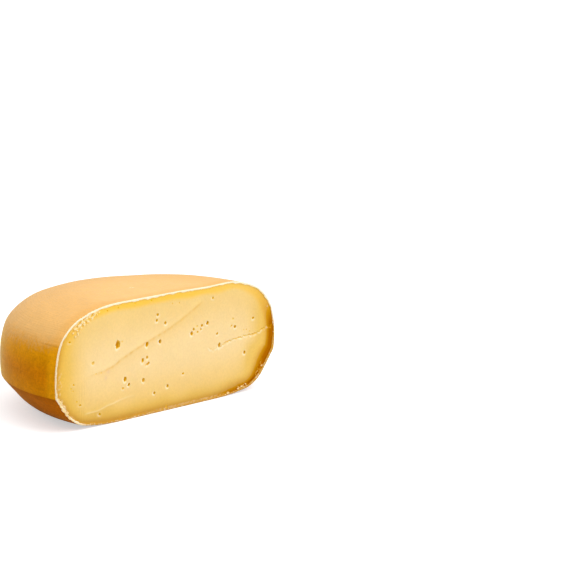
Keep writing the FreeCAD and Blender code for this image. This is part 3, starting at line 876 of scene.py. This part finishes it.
def face_mesh(outline, cut):
    """The face inside its outline: points, depths, shades, faces, and which are of coating."""
    rng = np.random.default_rng(cut.seed)
    normals = ring_normals(outline)
    lines = split_lines(rng)
    # The coating's edge is uneven, and wider at the two ends and low on the right.
    widths = 1 + 0.16 * ripple(outline, 9, rng) + 0.08 * ripple(outline, 3, rng)
    widths += 0.35 * normals[:, 0] ** 2
    widths += 0.7 * smooth(50, 36, outline[:, 1]) * smooth(70, 112, outline[:, 0])
    widths = np.clip(widths, 0.65, 2.0)
    coat, count = cut.coat / MM, len(outline)
    ids = np.arange(count)
    after = (ids + 1) % count
    rings, inward, faces, of_coat = [], [], [], []
    for number, share in enumerate(RINGS):
        # The unevenness is greatest halfway between the outline and the last ring.
        wide = 1 + (widths - 1) * min(share, RINGS[-1] - share) / 1.08
        rings.append(outline - normals * (share * coat * wide)[:, None])
        inward.append(np.full(count, share * coat))
        outer, inner = number * count, (number + 1) * count
        faces += np.stack([outer + ids, outer + after, inner + after, inner + ids], 1).tolist()
        of_coat += [share <= 1] * count
    fill = face_points(rings[-1], lines, cut)
    first = len(rings) * count
    patch = [[first + corner for corner in face] for face in filled(rings[-1], fill)]
    faces += patch
    of_coat += [False] * len(patch)
    points = np.concatenate([outline, *rings, fill])
    away_fill, outward_fill = under_rind(fill, outline, normals)
    away = np.concatenate([np.zeros(count), *inward, away_fill])
    outward = np.concatenate([normals] * (len(rings) + 1) + [outward_fill])
    depth, shades = face_relief(points, away, outward, lines, cut)
    return points, depth, shades, faces, of_coat


def cheese_mesh(shape, cut):
    """The whole cheese as one closed mesh, with what colours it at each point."""
    rind, faces, loop, rind_fields, cloth = rind_mesh(shape, cut.seed)
    points, depth, shades, face_faces, of_coat = face_mesh(rind[loop][:, (0, 2)] / MM, cut)
    count = len(loop)
    fresh = points[count:] * MM
    front = np.stack([fresh[:, 0], LOW.y + depth[count:] * MM, fresh[:, 1]], 1)
    home = np.concatenate([loop, len(rind) + np.arange(len(front))])
    kinds = [0] * len(faces) + [1 if coat else 2 for coat in of_coat]
    faces += [home[face].tolist() for face in face_faces]
    vertices = np.concatenate([rind, front])
    fields = {name: np.zeros(len(vertices)) for name in (*shades, *rind_fields)}
    for name, values in shades.items():
        fields[name][home] = values
    for name, values in rind_fields.items():
        fields[name][:len(rind)] = values
    cloth = np.concatenate([cloth, np.zeros((len(front), 3))])
    return vertices, faces, kinds, fields, cloth, loop


def new_object(name, data):
    """An object in the scene that holds the data."""
    made = bpy.data.objects.new(name, data)
    bpy.context.scene.collection.objects.link(made)
    return made


def new_mesh(name, vertices, faces, fields):
    """A smooth-shaded object from its parts, with a float attribute for each field."""
    mesh = bpy.data.meshes.new(name)
    mesh.from_pydata(vertices.tolist(), [], faces)
    for key, values in fields.items():
        attribute = mesh.attributes.new(key, "FLOAT", "POINT")
        attribute.data.foreach_set("value", np.asarray(values, np.float32))
    mesh.shade_smooth()
    if mesh.validate():
        raise RuntimeError(f"{name} has faces that Blender had to mend")
    return new_object(name, mesh)


def sharpen(mesh, loop):
    """Marks the edges along a closed loop of points as sharp, for a crisp corner."""
    pairs = {frozenset((int(a), int(b))) for a, b in zip(loop, np.roll(loop, -1))}
    crisp = [frozenset(edge.vertices) in pairs for edge in mesh.edges]
    mesh.attributes.new("sharp_edge", "BOOLEAN", "EDGE").data.foreach_set("value", crisp)


# ---------------------------------------------------------------- materials

def add(tree, kind, inputs=(), output=0, **settings):
    """Adds a node with its settings and inputs, each a value or a link, and gives an output."""
    made = tree.nodes.new("ShaderNode" + kind)
    for name, value in settings.items():
        setattr(made, name, value)
    for name, value in dict(inputs).items():
        if isinstance(value, bpy.types.NodeSocket):
            tree.links.new(value, made.inputs[name])
        else:
            made.inputs[name].default_value = value
    return made.outputs[output] if made.outputs else None


def field(tree, name):
    """One of the mesh's own fields, by its name."""
    return add(tree, "Attribute", output="Fac", attribute_name=name)


def noise(tree, place, size, detail, roughness=0.5):
    """Soft noise from 0 to 1, with lumps of about the size, in metres."""
    return add(tree, "TexNoise", {"Vector": place, "Scale": 1 / size, "Detail": detail,
                                  "Roughness": roughness}, "Fac")


def ranged(tree, value, start, end, low=0.0, high=1.0):
    """A value that goes from start to end while the given one goes from low to high."""
    return add(tree, "MapRange", {"Value": value, "From Min": low, "From Max": high,
                                  "To Min": start, "To Max": end})


def varied(tree, pattern, middle, strength, base=1.0, clamp=False):
    """The base, plus the strength times how far the pattern is from its middle."""
    centred = add(tree, "Math", {0: pattern, 1: middle}, operation="SUBTRACT")
    return add(tree, "Math", {0: centred, 1: strength, 2: base}, operation="MULTIPLY_ADD",
               use_clamp=clamp)


def chain(tree, operation, *values):
    """The values, added or multiplied one after another."""
    result = values[0]
    for value in values[1:]:
        result = add(tree, "Math", {0: result, 1: value}, operation=operation)
    return result


def tinted(tree, share, under, over):
    """The under colour, turned into the over colour by the share."""
    return add(tree, "Mix", {0: share, 6: under, 7: over}, 2, data_type="RGBA")


def bumped(tree, height, strength):
    """Relief of 0.3 mm drawn by the shading alone."""
    return add(tree, "Bump", {"Height": height, "Strength": strength, "Distance": 0.3 * MM})


def new_material(name):
    """A material with nothing in it."""
    material = bpy.data.materials.new(name)
    material.use_nodes = True
    material.node_tree.nodes.clear()
    return material, material.node_tree


def surfaced(material, tree, inputs):
    """The material, ended with a Principled shader that has these inputs."""
    add(tree, "OutputMaterial", {"Surface": add(tree, "BsdfPrincipled", inputs)})
    return material


def coating_material(colours):
    """Cheese coating: a plastic film brushed thinly over a rind that was pressed in cloth.

    It gives the eye a sandy top, paler partly by painted light, with the cloth's weave on its
    shoulders, over an amber side, deeper partly by painted shade, that is cloudy where the coats
    overlap, and dull and a little dusty.
    """
    material, tree = new_material("cheese_coating_brushed")
    cloth = add(tree, "Attribute", output="Vector", attribute_name="cloth")
    place = add(tree, "TexCoord", output="Object")
    side, shoulder = field(tree, "side"), field(tree, "shoulder")
    # The top's paler, sandy coat breaks up over the side in patches about 3 mm wide. The top's
    # paleness is partly painted light, and the side's amber, which reaches a little up the
    # shoulder, is partly painted shade.
    specks = noise(tree, place, 3 * MM, 5.0, 0.75)
    side_share_and_shade = add(tree, "Math", {0: shoulder, 1: 0.15, 2: side}, operation="MULTIPLY_ADD")
    broken = varied(tree, specks, 0.5, field(tree, "ragged"), side_share_and_shade, clamp=True)
    base = tinted(tree, broken, colours.rind_top_and_light, colours.rind_side_and_shade)
    # Painted shade: the foot and the bevel turn a darker, redder amber.
    base = tinted(tree, field(tree, "foot"), base, colours.rind_low_shaded)
    # Painted light: a brighter, yellower strip by the cut.
    drawn = chain(tree, "MULTIPLY", field(tree, "glow_by_cut"), 0.85)
    base = tinted(tree, drawn, base, colours.rind_glow_by_cut)
    # The scuff is a handful of flecks about 1 mm wide, where the film was scraped.
    flecks = ranged(tree, noise(tree, place, 1.3 * MM, 1.0), 0.0, 1.0, 0.5, 0.62)
    scraped = chain(tree, "MULTIPLY", field(tree, "scuff"), flecks)
    base = tinted(tree, scraped, base, colours.coat_edge)

    # Brushed coats overlap in soft clouds some 15 mm wide, and the film dries in a mottle
    # of about 3 mm. Its grain is some 0.3 mm; it is drawn at 1.3 mm, the finest that shows.
    # Brush strokes run round the wheel, some 20 mm long and 1.5 mm wide.
    clouds = noise(tree, place, 15 * MM, 5.0, 0.65)
    mottle = noise(tree, place, 3 * MM, 3.0, 0.6)
    grain = noise(tree, place, 1.3 * MM, 2.0)
    stretched = add(tree, "VectorMath", {0: cloth, 1: (1 / (20 * MM), 1 / (1.5 * MM), 0)},
                    "Vector", operation="MULTIPLY")
    strokes = noise(tree, stretched, 1.0, 2.0, 0.6)
    patchy = ranged(tree, side, 0.16, 0.5)
    # Painted shade darkens the shoulder a little, and the bevel under the lower crease more.
    value = chain(tree, "MULTIPLY", varied(tree, clouds, 0.52, patchy),
                  varied(tree, mottle, 0.52, patchy), ranged(tree, shoulder, 1.0, 0.95),
                  varied(tree, grain, 0.5, patchy), ranged(tree, strokes, 0.96, 1.03, 0.3, 0.7),
                  ranged(tree, field(tree, "under"), 1.0, 0.79),
                  # Painted shade in the scratched groove, and a painted highlight on its raised
                  # edge.
                  ranged(tree, field(tree, "scratch"), 1.2, 0.83, -1.0))
    shade = add(tree, "HueSaturation", {"Color": base, "Value": value})

    # The cheesecloth's threads lie about 1.3 mm apart; they are drawn at 1.9 mm to show.
    threads = [add(tree, "TexWave", {"Vector": cloth, "Scale": WAVE_LENGTH / (1.9 * MM),
                                     "Distortion": 1.2, "Detail": 1.0, "Detail Scale": 0.4},
                   "Fac", wave_type="BANDS", bands_direction=run) for run in "XY"]
    pressed = chain(tree, "MULTIPLY", *threads, field(tree, "weave"))
    relief = chain(tree, "ADD", pressed, grain, mottle, strokes)
    # Handling and the shelf have worn the gloss off the side and left a fine dust on it.
    return surfaced(material, tree, {
        "Base Color": shade, "Roughness": ranged(tree, mottle, 0.36, 0.48, 0.3, 0.7),
        "IOR": 1.47, "Normal": bumped(tree, relief, 0.45),
        "Specular IOR Level": ranged(tree, side, 0.16, 0.0),
        "Specular Tint": linear("#FFB020"), "Sheen Weight": field(tree, "dust"),
        "Sheen Roughness": 0.3, "Sheen Tint": linear("#F4E4A0")})


def coat_edge_material(colours):
    """The coating where the knife cut it: it gives the eye a thin pale line round the paste."""
    material, tree = new_material("cheese_coating_cut")
    # Smears and chips along the cut are about 1.5 mm long.
    chips = noise(tree, add(tree, "TexCoord", output="Object"), 1.5 * MM, 3.0, 0.7)
    patchy = ranged(tree, chips, 0.2, 1.0, 0.35, 0.6)
    # The brown is partly smears and partly painted shade.
    browning_and_shade = chain(tree, "MULTIPLY", field(tree, "browning_and_shade"), patchy)
    edge = tinted(tree, browning_and_shade, colours.coat_edge, colours.edge_low_and_shaded)
    shade = add(tree, "HueSaturation",
                {"Color": edge, "Value": ranged(tree, chips, 0.88, 1.03, 0.3, 0.7)})
    return surfaced(material, tree, {
        "Base Color": shade, "Roughness": 0.5, "IOR": 1.47, "Normal": bumped(tree, chips, 0.3),
        "Subsurface Weight": 0.15, "Subsurface Radius": (1.0, 0.7, 0.35),
        "Subsurface Scale": 1 * MM})


def paste_material(colours):
    """Gouda's paste, cut by a knife.

    It gives the eye a smooth, waxy, slightly translucent pale yellow, deeper under
    the rind where it has dried and, in part, by painted shade. Painted shade also darkens its eyes,
    split and torn pits, and a painted highlight lies on the eyes' and the split's lips.
    """
    material, tree = new_material("gouda_paste_cut")
    place = add(tree, "TexCoord", output="Object")
    marks = {name: field(tree, name) for name in PASTE_MARKS}
    # Curds knitted together leave clouds about 15 mm wide, and a grain of about 2 mm.
    clouds = noise(tree, place, 15 * MM, 3.0)
    curds = noise(tree, place, 2 * MM, 3.0, 0.6)
    shade = tinted(tree, marks["outer"], colours.paste, colours.paste_outer_and_shaded)
    zone = tinted(tree, marks["low"], colours.zone, colours.zone_low_and_shaded)
    # The deep zone, the knife line, the eyes and their hollows are partly painted shade, and the
    # lips partly painted highlight.
    for name, tint in (("zone", zone), ("deep", colours.zone_dried_and_shaded),
                       ("smear_and_shade", colours.knife_line), ("spot", colours.spot),
                       ("eye", colours.eye), ("hollow", colours.eye_dark), ("lip", colours.lip)):
        shade = tinted(tree, marks[name], shade, tint)
    # The value carries the painted light and shade of the knife step, the ridge and the chatter.
    value = chain(tree, "MULTIPLY", ranged(tree, marks["light_and_shade"], 0.9, 1.1, -1.0),
                  ranged(tree, clouds, 0.985, 1.015, 0.3, 0.7),
                  ranged(tree, curds, 0.955, 1.025, 0.3, 0.7))
    # Drying drives out the milky scatter, so the deep zone is a purer yellow, and duller;
    # its darker colour is partly painted shade.
    purer = ranged(tree, marks["deep"], 1.0, 1.4, 0.5)
    duller = ranged(tree, marks["deep"], 0.16, 0.0)
    shade = add(tree, "HueSaturation", {"Color": shade, "Value": value, "Saturation": purer})
    return surfaced(material, tree, {
        "Base Color": shade, "Roughness": 0.5, "IOR": 1.45, "Normal": bumped(tree, curds, 0.25),
        "Specular IOR Level": duller, "Specular Tint": linear("#FFE0A0"),
        "Subsurface Weight": 0.12, "Subsurface Radius": (1.0, 0.65, 0.25),
        "Subsurface Scale": 0.7 * MM})


# ---------------------------------------------------------------- pieces and stage

def flake_mesh(cut):
    """All the flakes as one mesh: thin chips with torn outlines, leaning out of the face."""
    rng = np.random.default_rng(cut.seed + 2)
    vertices, faces, lips = [], [], []
    around = 10
    for across, up, width, height, lean in FLAKES:
        start = len(vertices)
        turn = (np.arange(around) + rng.uniform(-0.3, 0.3, around)) * 2 * math.pi / around
        torn = rng.uniform(0.62, 1.15, around)
        thick = rng.uniform(0.3, 0.5)
        tilt = rng.uniform(-0.3, 0.3, 2)
        # From its root, sunk in the face, to its front: share of its size, and depth.
        points = [(0, 0.42, 0)]
        for share, out in ((0.62, 0.38), (0.93, 0.2), (1.0, -0.5 * thick), (0.6, -thick)):
            side = share * torn * width / 2 * np.cos(turn)
            rise = share * torn * height / 2 * np.sin(turn)
            lift = out + tilt[0] * side + tilt[1] * rise + rng.uniform(-0.06, 0.06, around)
            points += np.stack([side, lift, rise], 1).tolist()
        points.append((0, -1.05 * thick, 0))
        roll = np.array(Matrix.Rotation(lean * DEGREE, 3, "Y"))
        placed = (np.array(points) @ roll.T + (across, 0, up)) * MM + (0, LOW.y, 0)
        vertices += placed.tolist()
        last = start + len(points) - 1
        for i in range(around):
            j = (i + 1) % around
            faces.append((start, start + 1 + i, start + 1 + j))
            for level in range(3):
                a = start + 1 + level * around
                faces.append((a + i, a + around + i, a + around + j, a + j))
            a = start + 1 + 3 * around
            faces.append((a + i, last, a + j))
        # The tops are pale, and the sides and undersides take more of the deeper zone colour as
        # painted shade.
        lips += [rng.uniform(0.8, 1.0)] * (2 * around + 1) + [0.45] * (2 * around + 1)
    return np.array(vertices), faces, np.array(lips)


class GOUDA_OT_cheese(bpy.types.Operator):
    """Build the half wheel: its coated rind and its cut face, as one closed piece"""
    bl_idname = "gouda.cheese"
    bl_label = "Half wheel"

    def execute(self, context):
        scene = context.scene
        made = cheese_mesh(scene.gouda_shape, scene.gouda_cut)
        vertices, faces, kinds, fields, cloth, loop = made
        piece = new_mesh("cheese_half", vertices, faces, fields)
        mesh = piece.data
        mesh.attributes.new("cloth", "FLOAT_VECTOR", "POINT").data.foreach_set(
            "vector", np.asarray(cloth, np.float32).ravel())
        sharpen(mesh, loop)
        for make in (coating_material, coat_edge_material, paste_material):
            mesh.materials.append(make(scene.gouda_colours))
        mesh.polygons.foreach_set("material_index", kinds)
        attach(piece, "root")
        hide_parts(NODE)
        return {"FINISHED"}


class GOUDA_OT_flakes(bpy.types.Operator):
    """Build the flakes of paste that the knife lifted along the cut"""
    bl_idname = "gouda.flakes"
    bl_label = "Flakes"

    def execute(self, context):
        scene = context.scene
        vertices, faces, lips = flake_mesh(scene.gouda_cut)
        fields = {name: np.zeros(len(vertices)) for name in PASTE_MARKS}
        # The flakes' sides and undersides are painted the deeper zone colour as shade.
        fields.update(zone=1 - 0.75 * lips, lip=lips)
        piece = new_mesh("paste_flakes", vertices, faces, fields)
        piece.data.shade_flat()
        piece.data.materials.append(bpy.data.materials["gouda_paste_cut"])
        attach(piece, "root")
        return {"FINISHED"}


class GOUDA_OT_stage(bpy.types.Operator):
    """Set up the floor, the lights and the camera"""
    bl_idname = "gouda.stage"
    bl_label = "Stage"

    def execute(self, context):
        scene = context.scene
        stage = scene.gouda_stage
        self.floor()
        self.world(scene, stage)
        # Lamps as directions: name, from (x, y, z), strength, softness in degrees.
        self.lamp("key_light", (0.55, -1.0, 1.15), stage.key, 60)
        self.lamp("overhead_light", (-0.1, 0.25, 1.0), stage.overhead, 90)
        self.camera(scene, stage)
        scene.view_settings.view_transform = "Standard"
        return {"FINISHED"}

    def floor(self):
        """A white sweep of painted board, which keeps the soft shadow under the cheese."""
        radius, count = 14.0, 64
        turn = np.linspace(0, 2 * math.pi, count, endpoint=False)
        rim = np.stack([radius * np.cos(turn), radius * np.sin(turn), np.zeros(count)], 1)
        mesh = bpy.data.meshes.new("floor")
        mesh.from_pydata(rim.tolist(), [], [tuple(range(count))])
        board = new_object("floor", mesh)
        material, tree = new_material("painted_board")
        seen = add(tree, "LightPath", output="Is Camera Ray")
        paint = add(tree, "BsdfDiffuse", {"Color": linear("#DADADA")})
        glow = add(tree, "Emission", {"Color": linear("#FFFFFF"), "Strength": 0.52})
        nothing = add(tree, "Emission", {"Strength": 0.0})
        lit = add(tree, "MixShader", {0: seen, 1: nothing, 2: glow})
        surface = add(tree, "AddShader", {0: paint, 1: lit})
        add(tree, "OutputMaterial", {"Surface": surface})
        mesh.materials.append(material)

    def world(self, scene, stage):
        """Even light from all round, which the camera sees as white."""
        world = bpy.data.worlds.new("studio")
        world.use_nodes = True
        tree = world.node_tree
        tree.nodes.clear()
        seen = add(tree, "LightPath", output="Is Camera Ray")
        dim = add(tree, "Background", {"Color": linear("#FFFFFF"), "Strength": stage.ambient})
        white = add(tree, "Background", {"Color": linear("#FFFFFF"), "Strength": 1.0})
        add(tree, "OutputWorld", {"Surface": add(tree, "MixShader", {0: seen, 1: dim, 2: white})})
        scene.world = world

    def lamp(self, name, place, strength, softness):
        """A broad, even lamp far off in the direction of its place."""
        light = bpy.data.lights.new(name, "SUN")
        light.energy = strength
        light.angle = softness * DEGREE
        lamp = new_object(name, light)
        lamp.location = place
        lamp.rotation_euler = Vector(place).to_track_quat("Z", "Y").to_euler()

    def camera(self, scene, stage):
        """The camera, turned about the wheel's axis and aimed past the cheese."""
        eye = bpy.data.cameras.new("camera")
        eye.lens = stage.lens
        eye.clip_end = 50
        foot = Vector((0, LOW.y + scene.gouda_shape.cut_offset, 0))
        level = math.cos(stage.elevation)
        away = Vector((level * math.sin(stage.azimuth), -level * math.cos(stage.azimuth),
                       math.sin(stage.elevation)))
        place = foot + stage.distance * away
        look = (Vector(stage.aim) - place).to_track_quat("-Z", "Y").to_matrix()
        turned = look @ Matrix.Rotation(stage.roll, 3, "Z")
        scene.camera = new_object("camera", eye)
        scene.camera.matrix_world = Matrix.Translation(place) @ turned.to_4x4()


class GOUDA_PT_panel(bpy.types.Panel):
    """Lists what builds the half wheel"""
    bl_idname = "GOUDA_PT_panel"
    bl_label = "Gouda half wheel"
    bl_space_type = "VIEW_3D"
    bl_region_type = "UI"
    bl_category = "Gouda"

    def draw(self, context):
        for operator in BUILD_ORDER:
            self.layout.operator(operator.bl_idname)
        for group in SETTINGS:
            settings = getattr(context.scene, group)
            box = self.layout.box()
            for name in settings.__annotations__:
                box.prop(settings, name)


BUILD_ORDER = (GOUDA_OT_cheese, GOUDA_OT_flakes, GOUDA_OT_stage)
SETTINGS = {"gouda_shape": GoudaShape, "gouda_cut": GoudaCut,
            "gouda_colours": GoudaColours, "gouda_stage": GoudaStage}


def register():
    for group in (*SETTINGS.values(), *BUILD_ORDER, GOUDA_PT_panel):
        bpy.utils.register_class(group)
    for name, group in SETTINGS.items():
        setattr(bpy.types.Scene, name, PointerProperty(type=group))


def unregister():
    for name in SETTINGS:
        delattr(bpy.types.Scene, name)
    for group in (GOUDA_PT_panel, *BUILD_ORDER[::-1], *list(SETTINGS.values())[::-1]):
        bpy.utils.unregister_class(group)


def main():
    """Builds everything."""
    register()
    bpy.ops.gouda.cheese()
    bpy.ops.gouda.flakes()
    bpy.ops.gouda.stage()


if __name__ == "__main__":
    main()
